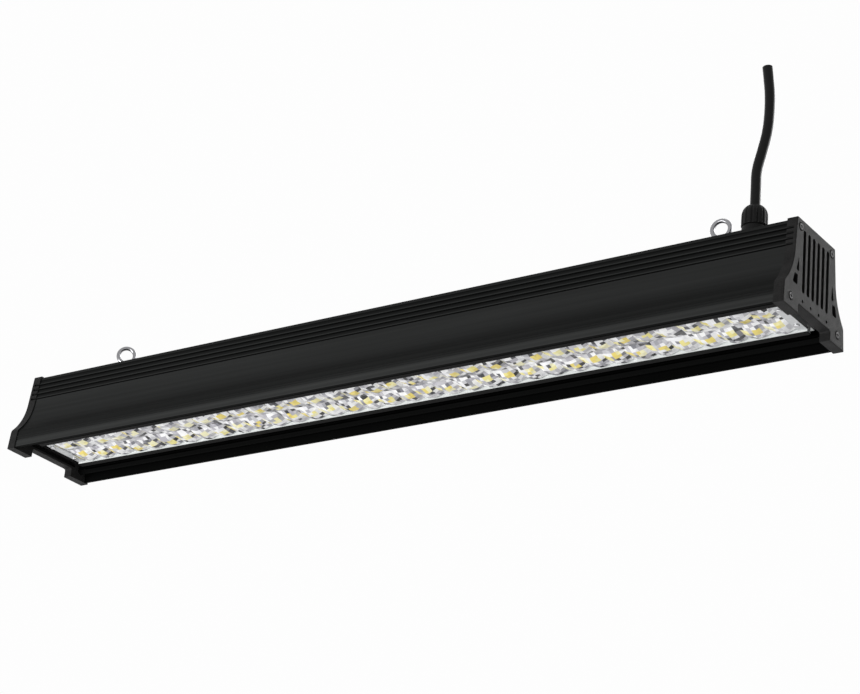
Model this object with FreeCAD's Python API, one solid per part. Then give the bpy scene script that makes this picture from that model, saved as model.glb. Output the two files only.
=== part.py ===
"""Linear LED high bay light, millimetres, +Z up.

The lamp is one black aluminium extrusion with a slotted cast cap on each end.
Its origin is the middle of the feet, on the surface that the caps stand on.
X runs along the lamp with the cable gland at +X, and -Y is the gland's side.
Light leaves downwards, through lens plates recessed between the two skirts.
"""
import FreeCAD, Part
import math
import os

V = FreeCAD.Vector

# ---------------------------------------------------------------- overall
overall_length = 900.0      # over the outer faces of the two end caps
foot_drop = 1.2             # the caps' feet stand this far below the skirt edges

# ---------------------------------------------------------------- housing section
body_height = 87.4          # from the skirt edges to the flat top
body_width = 111.0          # over the skirts at their lower edges
body_top_width = 69.0       # over the flat top
flank_height = 32.0         # straight ribbed part of each flank, from the top
flank_lean = 2.9            # how far the flank runs out over that height
skirt_height = 19.3         # from the skirt edge to the shoulder
skirt_lean = 1.4            # how far the skirt draws in at the shoulder
shoulder_round = 2.2        # reach of the rounding at the shoulder
top_round = 1.6             # reach of the rounding at the top corners
shell_wall = 2.6
skirt_wall = 3.0
top_wall = 3.0
recess_depth = 18.8         # from the skirt edges up to the LED shelf
led_shelf_wall = 4.0
cooling_height = 20.0       # clear height of the finned lower chamber
driver_shelf_wall = 2.0

flank_groove_count = 4
flank_groove_pitch = 5.5
flank_groove_width = 1.7
flank_groove_depth = 1.2
flank_groove_first = 9.2    # centre of the first groove below the top
skirt_groove_width = 1.3
skirt_groove_depth = 0.8
skirt_groove_drop = 10.6    # centre of the skirt groove below the shoulder
skirt_bead_radius = 0.7
skirt_bead_drop = 6.8       # centre of the bead below the shoulder
inner_rib_count = 3
inner_rib_height = 0.8
inner_rib_width = 1.2
inner_rib_pitch = 4.6
inner_rib_first = 4.4       # centre of the lowest rib above the skirt edge
fin_count = 8
fin_wall = 1.8
fin_height = 12.0
fin_pitch = 10.6

channel_radius = 3.8        # screw channels that run the whole length
channel_bore = 2.0
channel_slot = 1.4
channel_sink = 0.5          # how far a channel sinks into the walls that carry it
lower_channel_inset = 8.0   # from the inner face of the skirt
lower_channel_drop = 9.5    # below the LED shelf
lower_channel_web = 2.4

# ---------------------------------------------------------------- end caps
cap_plate = 3.0             # thickness of the slotted face
cap_rim_depth = 10.0        # the rim reaches this far in from the outer face
cap_rim_wall = 1.2
cap_gap = 0.15              # clearance between the rim and the extrusion
cap_end_gap = 0.3           # between the extrusion's end and the plate
cap_edge_round = 0.8
foot_width = 27.0
foot_height = 9.0           # the web between the feet is raised by this
foot_round = 2.0
cap_slot_count = 6
cap_slot_width = 4.9
cap_slot_pitch = 8.8
cap_slot_low = 22.0         # lower and upper ends of the slots
cap_slot_high = 81.5
cap_notch_width = 2.4       # rim notches in line with the flank grooves
teardrop_low = 40.6         # centre of the teardrop's round end, and its tip
teardrop_tip = 53.0
teardrop_radius = 2.2
teardrop_lean = 1.2         # the tip leans in by this much
teardrop_inset = 8.5        # from the cove to the middle of the round end
window_low = 25.2           # side window below the teardrop
window_high = 35.2
window_low_inset = 8.8      # from the cove to the window's outer side
window_high_inset = 5.2
window_low_width = 8.0
window_high_width = 6.0
window_round = 1.6
plug_relief_wall = 2.4
plug_relief_depth = 5.0
dimple_count = 4
dimple_radius = 1.5
dimple_depth = 1.2
dimple_pitch = 15.0
dimple_height = 14.0

# ---------------------------------------------------------------- cap screws
screw_radius = 1.9
screw_length = 16.0
screw_head_radius = 3.6
screw_head_height = 2.2
screw_sink_radius = 4.1
screw_sink_depth = 1.7
screw_hole_gap = 0.25
screw_cross_reach = 1.9     # cross recess in the screw heads
screw_cross_width = 0.9
screw_cross_depth = 1.0
head_round = 0.4            # rounding of pan heads, as a share of their height

# ---------------------------------------------------------------- light engine
light_end_gap = 11.0        # from the caps' inner rims to the ends of the lens rails
board_count = 3
board_gap = 0.4
board_side_gap = 0.5        # between a board and the lens rails
board_thickness = 1.6
lens_pitch = 23.3           # along each row
lens_row_inset = 11.4       # from the rails' inner faces to each row of lenses
lens_bite = 2.3             # how far the lens plates reach into the rails
lens_thickness = 2.4
lens_dome_radius = 10.3
lens_dome_height = 5.0
lens_end_gap = 0.3
chip_size = 7.0
chip_height = 0.8
seal_width = 2.4
seal_gap = 0.1              # clearance of the seals round the jumper strips
rail_channel_gap = 0.6      # between the rails and the webs of the lower screw channels
rail_body_width = 6.0
rail_drop = 4.5             # the rail reaches this far below the lens plate
rail_flange_width = 8.0
rail_flange_wall = 2.0
rail_gap = 0.2
end_strip_width = 9.0
end_strip_drop = 1.6        # the end strip reaches this far below the lens plate
rail_screws_per_rail = 7
rail_screw_end = 15.0       # from the rail's ends to its first and last screw
board_screws_per_board = 4
small_screw_radius = 1.45
small_screw_reach = 2.8
small_head_radius = 2.7
small_head_height = 1.7
small_screw_gap = 0.1
small_sink_depth = 1.25     # countersink in the boards
link_length = 12.0          # jumper strips that join neighbouring boards
link_width = 4.0
link_height = 0.5

# ---------------------------------------------------------------- driver
driver_length = 240.0
driver_width = 57.0
driver_height = 29.0
driver_x = -10.0
driver_round = 2.5
driver_rib_count = 9
driver_rib_pitch = 5.6
driver_rib_width = 2.2
driver_rib_depth = 0.8
driver_end_wall = 2.5
driver_tab_length = 14.0
driver_tab_wall = 2.0
driver_tab_width = 40.0
driver_screw_pitch = 26.0
tray_screw_radius = 1.9
tray_screw_length = 4.6
tray_head_radius = 3.6
tray_head_height = 2.4

# ---------------------------------------------------------------- terminal block
terminal_from_gland = 95.0  # between the block's middle and the gland's axis
terminal_length = 24.0
terminal_width = 30.0
terminal_height = 15.0
terminal_poles = 3
terminal_pitch = 9.0
terminal_well_radius = 2.2
terminal_well_depth = 4.0
terminal_ear_reach = 8.0    # from the block's side to its fixing screw
terminal_ear_end = 5.0

# ---------------------------------------------------------------- cable gland
gland_from_end = 55.0       # gland axis from the cap's outer face
gland_side_gap = 0.4        # between its locknut and the upper screw channel
gland_thread_radius = 9.9
gland_thread_length = 13.5
gland_hole_gap = 0.3
gland_flats = 25.0
gland_flange_height = 10.0
gland_flange_chamfer = 1.2
gland_washer_wall = 1.5
gland_neck_radius = 8.9
gland_neck_height = 7.0
gland_nut_flats = 24.0
gland_nut_height = 20.6
gland_nut_round = 7.5
gland_nut_chamfer = 1.1     # what the turned outline takes off the hexagon's corners
gland_nut_gap = 0.8
gland_nut_wall = 2.4
gland_locknut_flats = 26.0
gland_locknut_height = 4.6
gland_seal_gap = 0.1
gland_mouth_gap = 0.8       # round the cable where it leaves the dome nut
gland_seal_taper = 1.4

# ---------------------------------------------------------------- cables
cable_diameter = 9.5
cable_tail_gap = 1.0        # straight length left under the gland's thread
wire_diameter = 2.6
lead_diameter = 4.0
lead_bend = 12.0
grommet_radius = 4.2
grommet_lip = 1.0
grommet_lip_height = 0.8

# ---------------------------------------------------------------- eye bolts
eye_from_end = 95.0         # each eye's axis from the nearer cap's outer face
eye_wire = 4.2
eye_ring_radius = 8.5       # to the middle of the wire
eye_centre_height = 24.5    # ring centre above the flat top
eye_stem_radius = 3.0
eye_stem_below = 12.0       # stem length below the top face
eye_collar_radius = 4.4
eye_collar_height = 2.4
eye_collar_lap = 0.8        # how far the collar climbs the ring's wire
eye_turn_left = 40.0        # degrees that each ring is turned about its stem
eye_turn_right = 8.0
eye_nut_flats = 10.0
eye_nut_height = 5.0
eye_washer_radius = 6.2
eye_washer_wall = 1.6
eye_fit_gap = 0.1

# ---------------------------------------------------------------- worked-out levels
top_z = foot_drop + body_height
shoulder_z = foot_drop + skirt_height
flank_foot_z = top_z - flank_height
led_shelf_z = foot_drop + recess_depth
cooling_floor_z = led_shelf_z + led_shelf_wall
driver_shelf_z = cooling_floor_z + cooling_height
driver_floor_z = driver_shelf_z + driver_shelf_wall
ceiling_z = top_z - top_wall
body_length = overall_length - 2 * (cap_plate + cap_end_gap)
rail_length = overall_length - 2 * (cap_rim_depth + light_end_gap)
board_pitch = (rail_length - 2 * end_strip_width) / board_count
lenses_per_row = int(board_pitch / lens_pitch)
board_screw_pitch = board_pitch / board_screws_per_board
rail_screw_pitch = (rail_length - 2 * rail_screw_end) / (rail_screws_per_rail - 1)
board_z = led_shelf_z - board_thickness
lens_top_z = board_z - chip_height
lens_z = lens_top_z - lens_thickness
gland_x = overall_length / 2 - gland_from_end
terminal_x = gland_x - terminal_from_gland
eye_spacing = overall_length - 2 * eye_from_end
lead_hole_x = board_screw_pitch - board_pitch     # midway between two board screws
past = 1.0                  # cutting tools run this far past what they cut


# ================================================================ small helpers
def yz(y, z, x=0.0):
    return V(x, y, z)


def line(a, b):
    return Part.makeLine(a, b)


def arc(a, mid, b):
    return Part.Arc(a, mid, b).toShape()


def rounding_mid(p, corner, q):
    """Middle of the arc that rounds a corner between p and q."""
    half_turn = (math.pi - (p - corner).getAngle(q - corner)) / 2
    chord_mid = (p + q) * 0.5
    return chord_mid + (corner - chord_mid) * (math.cos(half_turn) / (1 + math.cos(half_turn)))


def polygon(points, reach=0.0):
    """Closed wire through corner points, each corner rounded over the given reach."""
    if reach <= 0:
        return Part.makePolygon(points + [points[0]])
    edges = []
    count = len(points)
    starts = []
    for i, corner in enumerate(points):
        before = points[i - 1] - corner
        after = points[(i + 1) % count] - corner
        p = corner + before.normalize() * reach
        q = corner + after.normalize() * reach
        starts.append((p, rounding_mid(p, corner, q), q))
    for i, (p, mid, q) in enumerate(starts):
        edges.append(arc(p, mid, q))
        following = starts[(i + 1) % count][0]
        if q.distanceToPoint(following) > 1e-6:
            edges.append(line(q, following))
    return Part.Wire(edges)


def section_box(y0, y1, z0, z1, reach=0.0):
    return Part.Face(polygon([yz(y0, z0), yz(y1, z0), yz(y1, z1), yz(y0, z1)], reach))


def section_disc(y, z, radius):
    return Part.Face(Part.Wire(Part.makeCircle(radius, yz(y, z), V(1, 0, 0))))


def along_x(face, x0, x1):
    """Prism of a section in the YZ plane between two stations."""
    moved = face.copy()
    moved.translate(V(x0, 0, 0))
    return moved.extrude(V(x1 - x0, 0, 0))


def box(x0, x1, y0, y1, z0, z1):
    return Part.makeBox(x1 - x0, y1 - y0, z1 - z0, V(x0, y0, z0))


def cylinder(radius, height, base, axis=V(0, 0, 1)):
    return Part.makeCylinder(radius, height, base, axis)


def hexagon(flats, z0, height, x=0.0, y=0.0):
    """Hexagonal prism standing on z0."""
    reach = flats / math.sqrt(3)
    corners = [V(x + reach * math.cos(math.radians(60 * k)),
                 y + reach * math.sin(math.radians(60 * k)), z0) for k in range(6)]
    return Part.Face(polygon(corners)).extrude(V(0, 0, height))


def revolved(profile, x=0.0, y=0.0):
    """Solid of revolution about a vertical axis from (radius, z) corners."""
    face = Part.Face(polygon([V(r, 0, z) for r, z in profile]))
    solid = face.revolve(V(0, 0, 0), V(0, 0, 1), 360)
    solid.translate(V(x, y, 0))
    return solid


def both_sides(shape):
    """A shape and its mirror image across the lamp's long middle plane."""
    return [shape, shape.mirror(V(0, 0, 0), V(0, 1, 0))]


def spread(count, pitch):
    """Stations of a centred row."""
    return [(i - (count - 1) / 2) * pitch for i in range(count)]


def round_tube(points, radius, tightest_room=1e9):
    """Tube along straight runs joined by tangent arcs that use at most the room given."""
    edges = []
    start = points[0]
    for before, corner, after in zip(points, points[1:], points[2:]):
        run_in = (before - corner)
        run_out = (after - corner)
        turn = math.pi - run_in.getAngle(run_out)
        reach = min(0.45 * min(run_in.Length, run_out.Length), tightest_room)
        print("bend radius %.1f mm" % (reach / math.tan(turn / 2)))
        p = corner + run_in.normalize() * reach
        q = corner + run_out.normalize() * reach
        edges += [line(start, p), arc(p, rounding_mid(p, corner, q), q)]
        start = q
    edges.append(line(start, points[-1]))
    path = Part.Wire(edges)
    section = Part.Wire(Part.makeCircle(radius, points[0], points[1] - points[0]))
    tube = path.makePipeShell([section], True, False)
    print("tube length %.1f mm, volume over section times length %.4f"
          % (path.Length, tube.Volume / (math.pi * radius ** 2 * path.Length)))
    return tube


# ================================================================ outer outline
def cove():
    """Centre and radius of the cove arc, tangent to the flank's lower end."""
    foot = yz(body_top_width / 2 + flank_lean, flank_foot_z)
    corner = yz(body_width / 2 - skirt_lean, shoulder_z)
    outward = yz(flank_height, flank_lean).normalize()
    chord = corner - foot
    radius = chord.Length ** 2 / (2 * chord.dot(outward))
    return foot + outward * radius, radius


COVE_CENTRE, COVE_RADIUS = cove()


def cove_y(z, grow=0.0):
    """Half width at height z within the cove, for an outline grown outwards."""
    rise = COVE_CENTRE.z - z
    return COVE_CENTRE.y - math.sqrt((COVE_RADIUS - grow) ** 2 - rise ** 2)


def flank_y(z, grow=0.0):
    """Half width at height z on the straight flank, for a grown outline."""
    slope = flank_lean / flank_height
    return body_top_width / 2 + (top_z - z) * slope + grow * math.hypot(1, slope)


def skirt_y(z, grow=0.0):
    """Half width at height z on the skirt, for a grown outline."""
    slope = skirt_lean / skirt_height
    return body_width / 2 - (z - foot_drop) * slope + grow * math.hypot(1, slope)


def outline(grow, bottom):
    """Outer outline of the lamp, grown by a wall or clearance, as a face."""
    top = top_z + grow
    outward = yz(flank_height, flank_lean).normalize()
    flank_foot = yz(body_top_width / 2 + flank_lean, flank_foot_z) + outward * grow
    corner = yz(skirt_y(shoulder_z, grow), shoulder_z + grow * 0.5)
    below = yz(skirt_y(corner.z - shoulder_round, grow), corner.z - shoulder_round)
    above = yz(cove_y(corner.z + shoulder_round, grow), corner.z + shoulder_round)
    cove_mid_z = (above.z + flank_foot.z) / 2
    top_corner = yz(flank_y(top, grow), top)
    top_side = yz(flank_y(top - top_round, grow), top - top_round)
    top_flat = yz(top_corner.y - top_round, top)
    half = [
        line(yz(skirt_y(bottom, grow), bottom), below),
        arc(below, rounding_mid(below, corner, above), above),
        arc(above, yz(cove_y(cove_mid_z, grow), cove_mid_z), flank_foot),
        line(flank_foot, top_side),
        arc(top_side, rounding_mid(top_side, top_corner, top_flat), top_flat),
        line(top_flat, yz(0, top)),
        line(yz(0, bottom), yz(skirt_y(bottom, grow), bottom)),
    ]
    other = [edge.mirror(V(0, 0, 0), V(0, 1, 0)) for edge in half]
    return Part.Face(Part.Wire(Part.__sortEdges__(half + other)))


# ================================================================ housing
def recess_face(inset, top, bottom):
    """Section of the open recess between the skirts, drawn in by an inset."""
    low = skirt_y(bottom) - skirt_wall - inset
    high = skirt_y(top) - skirt_wall - inset
    return Part.Face(polygon([yz(-low, bottom), yz(low, bottom), yz(high, top), yz(-high, top)]))


def chamber_face(floor, ceiling):
    """Section of a closed chamber inside the shell wall."""
    def wall_y(z):
        if z > flank_foot_z:
            return flank_y(z, -shell_wall)
        return cove_y(z, -shell_wall)

    half = []
    if floor < flank_foot_z:
        arc_top = min(ceiling, flank_foot_z)
        mid = (floor + arc_top) / 2
        half.append(arc(yz(wall_y(floor), floor), yz(cove_y(mid, -shell_wall), mid),
                        yz(cove_y(arc_top, -shell_wall), arc_top)))
    if ceiling > flank_foot_z:
        start = yz(cove_y(flank_foot_z, -shell_wall), flank_foot_z)
        half.append(line(start, yz(wall_y(ceiling), ceiling)))
    half.append(line(yz(wall_y(ceiling), ceiling), yz(0, ceiling)))
    half.append(line(yz(0, floor), yz(wall_y(floor), floor)))
    other = [edge.mirror(V(0, 0, 0), V(0, 1, 0)) for edge in half]
    return Part.Face(Part.Wire(Part.__sortEdges__(half + other)))


def upper_channel():
    z = ceiling_z - channel_radius + channel_sink
    y = flank_y(z, -shell_wall) - channel_radius + channel_sink
    return y, z


def lower_channel():
    z = led_shelf_z - lower_channel_drop
    y = skirt_y(z) - skirt_wall - lower_channel_inset
    return y, z


def gland_axis_y():
    """The gland stands as far to the -Y side as its locknut can beside the channel."""
    y, _ = upper_channel()
    return -(y - channel_radius - gland_side_gap - gland_locknut_flats / 2)


def rail_faces():
    """Inner and outer faces of the lens rails, which fill the shelf between the channels."""
    outer = lower_channel()[0] - lower_channel_web / 2 - rail_channel_gap
    return outer - rail_flange_width - rail_body_width, outer


gland_y = gland_axis_y()
rail_wall_inner, rail_wall_outer = rail_faces()
board_width = 2 * (rail_wall_inner - board_side_gap)
lens_width = 2 * (rail_wall_inner + lens_bite)
lens_row_offset = rail_wall_inner - lens_row_inset


def groove_levels():
    return [top_z - flank_groove_first - i * flank_groove_pitch
            for i in range(flank_groove_count)]


def lead_holes():
    """Where the low-voltage lead passes both shelves on its way to the boards."""
    return [(lead_hole_x, 0.0, driver_shelf_z, driver_shelf_wall),
            (lead_hole_x, 0.0, led_shelf_z, led_shelf_wall)]


def rail_screw_stations():
    y = rail_wall_outer - rail_flange_width / 2
    return [(x, side * y) for side in (-1, 1)
            for x in spread(rail_screws_per_rail, rail_screw_pitch)]


def board_screw_stations():
    return [(board_x + x, 0.0) for board_x in spread(board_count, board_pitch)
            for x in spread(board_screws_per_board, board_screw_pitch)]


def end_strip_x():
    return (rail_length - end_strip_width) / 2


def end_strip_screw_stations():
    return [(side * end_strip_x(), y) for side in (-1, 1)
            for y in (-lens_row_offset, lens_row_offset)]


def inner_ribs():
    ribs = []
    for i in range(inner_rib_count):
        z = foot_drop + inner_rib_first + i * inner_rib_pitch
        tip = skirt_y(z) - skirt_wall - inner_rib_height
        ribs += both_sides(section_box(tip, tip + inner_rib_height + past,
                                       z - inner_rib_width / 2, z + inner_rib_width / 2))
    return ribs


def cooling_fins():
    return [section_box(y - fin_wall / 2, y + fin_wall / 2,
                        cooling_floor_z - past, cooling_floor_z + fin_height)
            for y in spread(fin_count, fin_pitch)]


def outer_grooves():
    """Grooves along the flanks and the skirts, as sections that run past the outline."""
    grooves = []
    for z in groove_levels():
        bottom = flank_y(z) - flank_groove_depth
        grooves += both_sides(section_box(bottom, bottom + flank_groove_depth + past,
                                          z - flank_groove_width / 2, z + flank_groove_width / 2))
    z = shoulder_z - skirt_groove_drop
    bottom = skirt_y(z) - skirt_groove_depth
    grooves += both_sides(section_box(bottom, bottom + skirt_groove_depth + past,
                                      z - skirt_groove_width / 2, z + skirt_groove_width / 2))
    return grooves


def channel_sections():
    """Sections of the four screw channels with their webs, and of their bores and slots."""
    walls, bores = [], []
    y, z = lower_channel()
    walls += both_sides(section_box(y - lower_channel_web / 2, y + lower_channel_web / 2,
                                    z, led_shelf_z + past))
    for y, z in (upper_channel(), lower_channel()):
        walls += both_sides(section_disc(y, z, channel_radius))
        bores += both_sides(section_disc(y, z, channel_bore))
        bores += both_sides(section_box(y - channel_radius - past, y,
                                        z - channel_slot / 2, z + channel_slot / 2))
    return walls, bores


def skirt_beads(radius):
    z = shoulder_z - skirt_bead_drop
    return both_sides(section_disc(skirt_y(z), z, radius))


def housing():
    section = outline(0.0, foot_drop)
    section = section.cut(recess_face(0.0, led_shelf_z, foot_drop - past).cut(inner_ribs()))
    section = section.cut(chamber_face(cooling_floor_z, driver_shelf_z).cut(cooling_fins()))
    section = section.cut(chamber_face(driver_floor_z, ceiling_z))
    section = section.cut(outer_grooves())
    walls, bores = channel_sections()
    walls += skirt_beads(skirt_bead_radius)
    end = body_length / 2
    body = along_x(section.Faces[0], -end, end)
    body = body.fuse([along_x(face, -end, end) for face in walls])
    body = body.cut([along_x(face, -end - past, end + past) for face in bores])
    return body.cut(housing_holes()).removeSplitter()


def housing_holes():
    cuts = [cylinder(gland_thread_radius + gland_hole_gap, top_wall + 2 * past,
                     V(gland_x, gland_y, ceiling_z - past))]
    for side in (-1, 1):
        cuts.append(cylinder(eye_stem_radius + eye_fit_gap, top_wall + 2 * past,
                             V(side * eye_spacing / 2, 0, ceiling_z - past)))
    for x, y, z, wall in lead_holes():
        cuts.append(cylinder(grommet_radius - grommet_lip, wall + 2 * past, V(x, y, z - past)))
    tapped = rail_screw_stations() + board_screw_stations() + end_strip_screw_stations()
    for x, y in tapped:
        cuts.append(cylinder(small_screw_radius + small_screw_gap, led_shelf_wall + 2 * past,
                             V(x, y, led_shelf_z - past)))
    for x, y in driver_screw_stations() + terminal_screw_stations():
        cuts.append(cylinder(tray_screw_radius + small_screw_gap, driver_shelf_wall + 2 * past,
                             V(x, y, driver_shelf_z - past)))
    return cuts


# ================================================================ end caps
def teardrop():
    """Pointed cut-out beside the slots."""
    y = cove_y(teardrop_low) - teardrop_inset
    tip = yz(y - teardrop_lean, teardrop_tip)
    left = yz(y - teardrop_radius, teardrop_low)
    right = yz(y + teardrop_radius, teardrop_low)
    return Part.Face(Part.Wire([line(right, tip), line(tip, left),
                                arc(left, yz(y, teardrop_low - teardrop_radius), right)]))


def side_window():
    """Rounded window that follows the cove below the teardrop."""
    low = cove_y(window_low) - window_low_inset
    high = cove_y(window_high) - window_high_inset
    corners = [yz(low - window_low_width, window_low), yz(low, window_low),
               yz(high, window_high), yz(high - window_high_width, window_high)]
    return Part.Face(polygon(corners, window_round))


def slot_face(y):
    radius = cap_slot_width / 2
    low, high = cap_slot_low + radius, cap_slot_high - radius
    return Part.Face(Part.Wire([
        line(yz(y + radius, low), yz(y + radius, high)),
        arc(yz(y + radius, high), yz(y, high + radius), yz(y - radius, high)),
        line(yz(y - radius, high), yz(y - radius, low)),
        arc(yz(y - radius, low), yz(y, low - radius), yz(y + radius, low)),
    ]))


def cap_screw_points():
    points = []
    for y, z in (upper_channel(), lower_channel()):
        points += [(-y, z), (y, z)]
    return points


def cap_block():
    """Tray of the cap before its openings: face, feet and rim."""
    outer = outline(cap_rim_wall + cap_gap, 0.0)
    span = skirt_y(0.0, cap_rim_wall + cap_gap) - foot_width
    low = -foot_round - past
    gap_corners = [yz(-span, low), yz(span, low), yz(span, foot_height), yz(-span, foot_height)]
    outer = outer.cut(Part.Face(polygon(gap_corners, foot_round)))
    face_x = overall_length / 2
    block = along_x(outer.Faces[0], face_x - cap_rim_depth, face_x)
    rim_edges = [edge for edge in block.Edges
                 if abs(edge.BoundBox.XMin - face_x) < 1e-4 and abs(edge.BoundBox.XMax - face_x) < 1e-4]
    return block.makeFillet(cap_edge_round, rim_edges)


def cap_pocket():
    """Room for the extrusion's end, leaving the plug between the skirts."""
    pocket = outline(cap_gap, foot_drop - cap_gap)
    plug_top = led_shelf_z - cap_gap
    plug = recess_face(inner_rib_height + cap_gap, plug_top, foot_drop - cap_gap - past)
    y, z = lower_channel()
    channel = both_sides(section_disc(y, z, channel_radius + cap_gap))
    web = lower_channel_web / 2 + cap_gap
    channel += both_sides(section_box(y - web, y + web, z, plug_top + past))
    plug = plug.cut(channel)
    face_x = overall_length / 2
    return along_x(pocket, face_x - cap_rim_depth - past, face_x - cap_plate).cut(
        along_x(plug.Faces[0], face_x - cap_rim_depth - 2 * past, face_x))


def plug_relief():
    """Hollow in the back of the plug that keeps its walls even."""
    half = lower_channel()[0] - channel_radius - 2 * plug_relief_wall
    low = foot_height + plug_relief_wall
    high = led_shelf_z - cap_gap - plug_relief_wall
    face_x = overall_length / 2
    return along_x(section_box(-half, half, low, high, 1.0),
                   face_x - cap_rim_depth - past, face_x - cap_rim_depth + plug_relief_depth)


def rim_notches():
    notches = []
    start = overall_length / 2 - cap_rim_depth - past
    end = overall_length / 2 - cap_plate
    for z in groove_levels():
        inside = flank_y(z) - past
        outside = flank_y(z, cap_gap + cap_rim_wall) + past
        notches += both_sides(box(start, end, inside, outside,
                                  z - cap_notch_width / 2, z + cap_notch_width / 2))
    return notches


def end_cap():
    """The cap of the +X end; the other end is its mirror image."""
    face_x = overall_length / 2
    cap = cap_block().cut(cap_pocket())
    cap = cap.cut([plug_relief()] + [along_x(face, face_x - cap_rim_depth - past, face_x - cap_plate)
                                     for face in skirt_beads(skirt_bead_radius + cap_gap)])
    openings = [slot_face(y) for y in spread(cap_slot_count, cap_slot_pitch)]
    openings += both_sides(teardrop()) + both_sides(side_window())
    cuts = [along_x(face, face_x - cap_plate - past, face_x + past) for face in openings]
    cuts += rim_notches()
    for y, z in cap_screw_points():
        cuts.append(cylinder(screw_radius + screw_hole_gap, cap_rim_depth + 2 * past,
                             V(face_x - cap_rim_depth - past, y, z), V(1, 0, 0)))
        cuts.append(cylinder(screw_sink_radius, screw_sink_depth + past,
                             V(face_x - screw_sink_depth, y, z), V(1, 0, 0)))
    for y in spread(dimple_count, dimple_pitch):
        cuts.append(cylinder(dimple_radius, dimple_depth + past,
                             V(face_x - dimple_depth, y, dimple_height), V(1, 0, 0)))
    return cap.cut(cuts).removeSplitter()


def cap_screw(y, z):
    """Pan head screw with a cross recess, driven along -X."""
    seat = overall_length / 2 - screw_sink_depth
    head = cylinder(screw_head_radius, screw_head_height, V(seat, y, z), V(1, 0, 0))
    crown = [edge for edge in head.Edges if edge.BoundBox.XMin > seat + screw_head_height - 1e-4]
    head = head.makeFillet(screw_head_height * head_round, crown)
    shank = cylinder(screw_radius, screw_length, V(seat - screw_length, y, z), V(1, 0, 0))
    recess_x = seat + screw_head_height - screw_cross_depth
    arm, half = screw_cross_reach, screw_cross_width / 2
    for half_y, half_z in ((arm, half), (half, arm)):
        head = head.cut(box(recess_x, recess_x + screw_cross_depth + past,
                            y - half_y, y + half_y, z - half_z, z + half_z))
    return shank.fuse(head).removeSplitter()


def cap_screws():
    return Part.makeCompound([cap_screw(y, z) for y, z in cap_screw_points()])


def mirrored_end(shape):
    return shape.mirror(V(0, 0, 0), V(1, 0, 0))


# ================================================================ light engine
def led_board(x):
    half = (board_pitch - board_gap) / 2
    board = box(x - half, x + half, -board_width / 2, board_width / 2, board_z, led_shelf_z)
    for screw_x, screw_y in board_screw_stations():
        if abs(screw_x - x) < half:
            board = board.cut(small_screw_tool(screw_x, screw_y))
    return board


def small_screw_tool(x, y):
    """Countersunk hole of a board screw, with its clearance."""
    grow = small_screw_gap
    return revolved([(0, board_z - past), (small_head_radius + grow, board_z - past),
                     (small_head_radius + grow, board_z),
                     (small_screw_radius + grow, board_z + small_sink_depth),
                     (small_screw_radius + grow, led_shelf_z + past), (0, led_shelf_z + past)], x, y)


def board_screw(x, y):
    tip = led_shelf_z + small_screw_reach
    return revolved([(0, board_z), (small_head_radius, board_z),
                     (small_screw_radius, board_z + small_sink_depth),
                     (small_screw_radius, tip), (0, tip)], x, y)


def chip_stations(x):
    return [(x + dx, side * lens_row_offset) for dx in spread(lenses_per_row, lens_pitch)
            for side in (-1, 1)]


def led_chips(x):
    half = chip_size / 2
    return Part.makeCompound([box(cx - half, cx + half, cy - half, cy + half, lens_top_z, board_z)
                              for cx, cy in chip_stations(x)])


def lens_plate(x):
    """Clear plate with one dome under each LED."""
    half = (board_pitch - lens_end_gap) / 2
    plate = box(x - half, x + half, -lens_width / 2, lens_width / 2, lens_z, lens_top_z)
    ball = (lens_dome_radius ** 2 + lens_dome_height ** 2) / (2 * lens_dome_height)
    domes = []
    for cx, cy in chip_stations(x):
        sphere = Part.makeSphere(ball, V(cx, cy, lens_z - lens_dome_height + ball))
        domes.append(sphere.common(box(cx - ball, cx + ball, cy - ball, cy + ball,
                                       lens_z - ball, lens_z + 0.5 * lens_thickness)))
    return plate.fuse(domes).removeSplitter()


def lens_seal(x):
    half = (board_pitch - lens_end_gap - board_gap) / 2
    outer = box(x - half, x + half, -board_width / 2, board_width / 2, lens_top_z, board_z)
    inner = box(x - half + seal_width, x + half - seal_width, -board_width / 2 + seal_width,
                board_width / 2 - seal_width, lens_top_z - past, board_z + past)
    seal = outer.cut(inner)
    for joint, y in link_stations():
        reach_x = link_length / 2 + seal_gap
        reach_y = link_width / 2 + seal_gap
        seal = seal.cut(box(joint - reach_x, joint + reach_x, y - reach_y, y + reach_y,
                            board_z - link_height - seal_gap, board_z + past))
    return seal


def link_stations():
    boards = spread(board_count, board_pitch)
    return [((left + right) / 2, side * link_width) for left, right in zip(boards, boards[1:])
            for side in (-1, 1)]


def board_links():
    """Jumper strips that bridge from each board to the next."""
    return Part.makeCompound([box(x - link_length / 2, x + link_length / 2, y - link_width / 2,
                                  y + link_width / 2, board_z - link_height, board_z)
                              for x, y in link_stations()])


def lens_rail():
    """Retaining rail on the +Y side: grips the lens edge and screws to the shelf."""
    inner, outer = rail_wall_inner, rail_wall_inner + rail_body_width
    bottom = lens_z - rail_drop
    groove = lens_width / 2 + rail_gap
    flange = rail_wall_outer
    corners = [(inner, bottom), (outer, bottom), (outer, led_shelf_z - rail_flange_wall),
               (flange, led_shelf_z - rail_flange_wall), (flange, led_shelf_z), (inner, led_shelf_z),
               (inner, lens_top_z + rail_gap), (groove, lens_top_z + rail_gap),
               (groove, lens_z - rail_gap), (inner, lens_z - rail_gap)]
    rail = along_x(Part.Face(polygon([yz(y, z) for y, z in corners])),
                   -rail_length / 2, rail_length / 2)
    for x, y in rail_screw_stations():
        if y > 0:
            rail = rail.cut(cylinder(small_screw_radius + screw_hole_gap,
                                     rail_flange_wall + 2 * past,
                                     V(x, y, led_shelf_z - rail_flange_wall - past)))
    return rail


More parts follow.
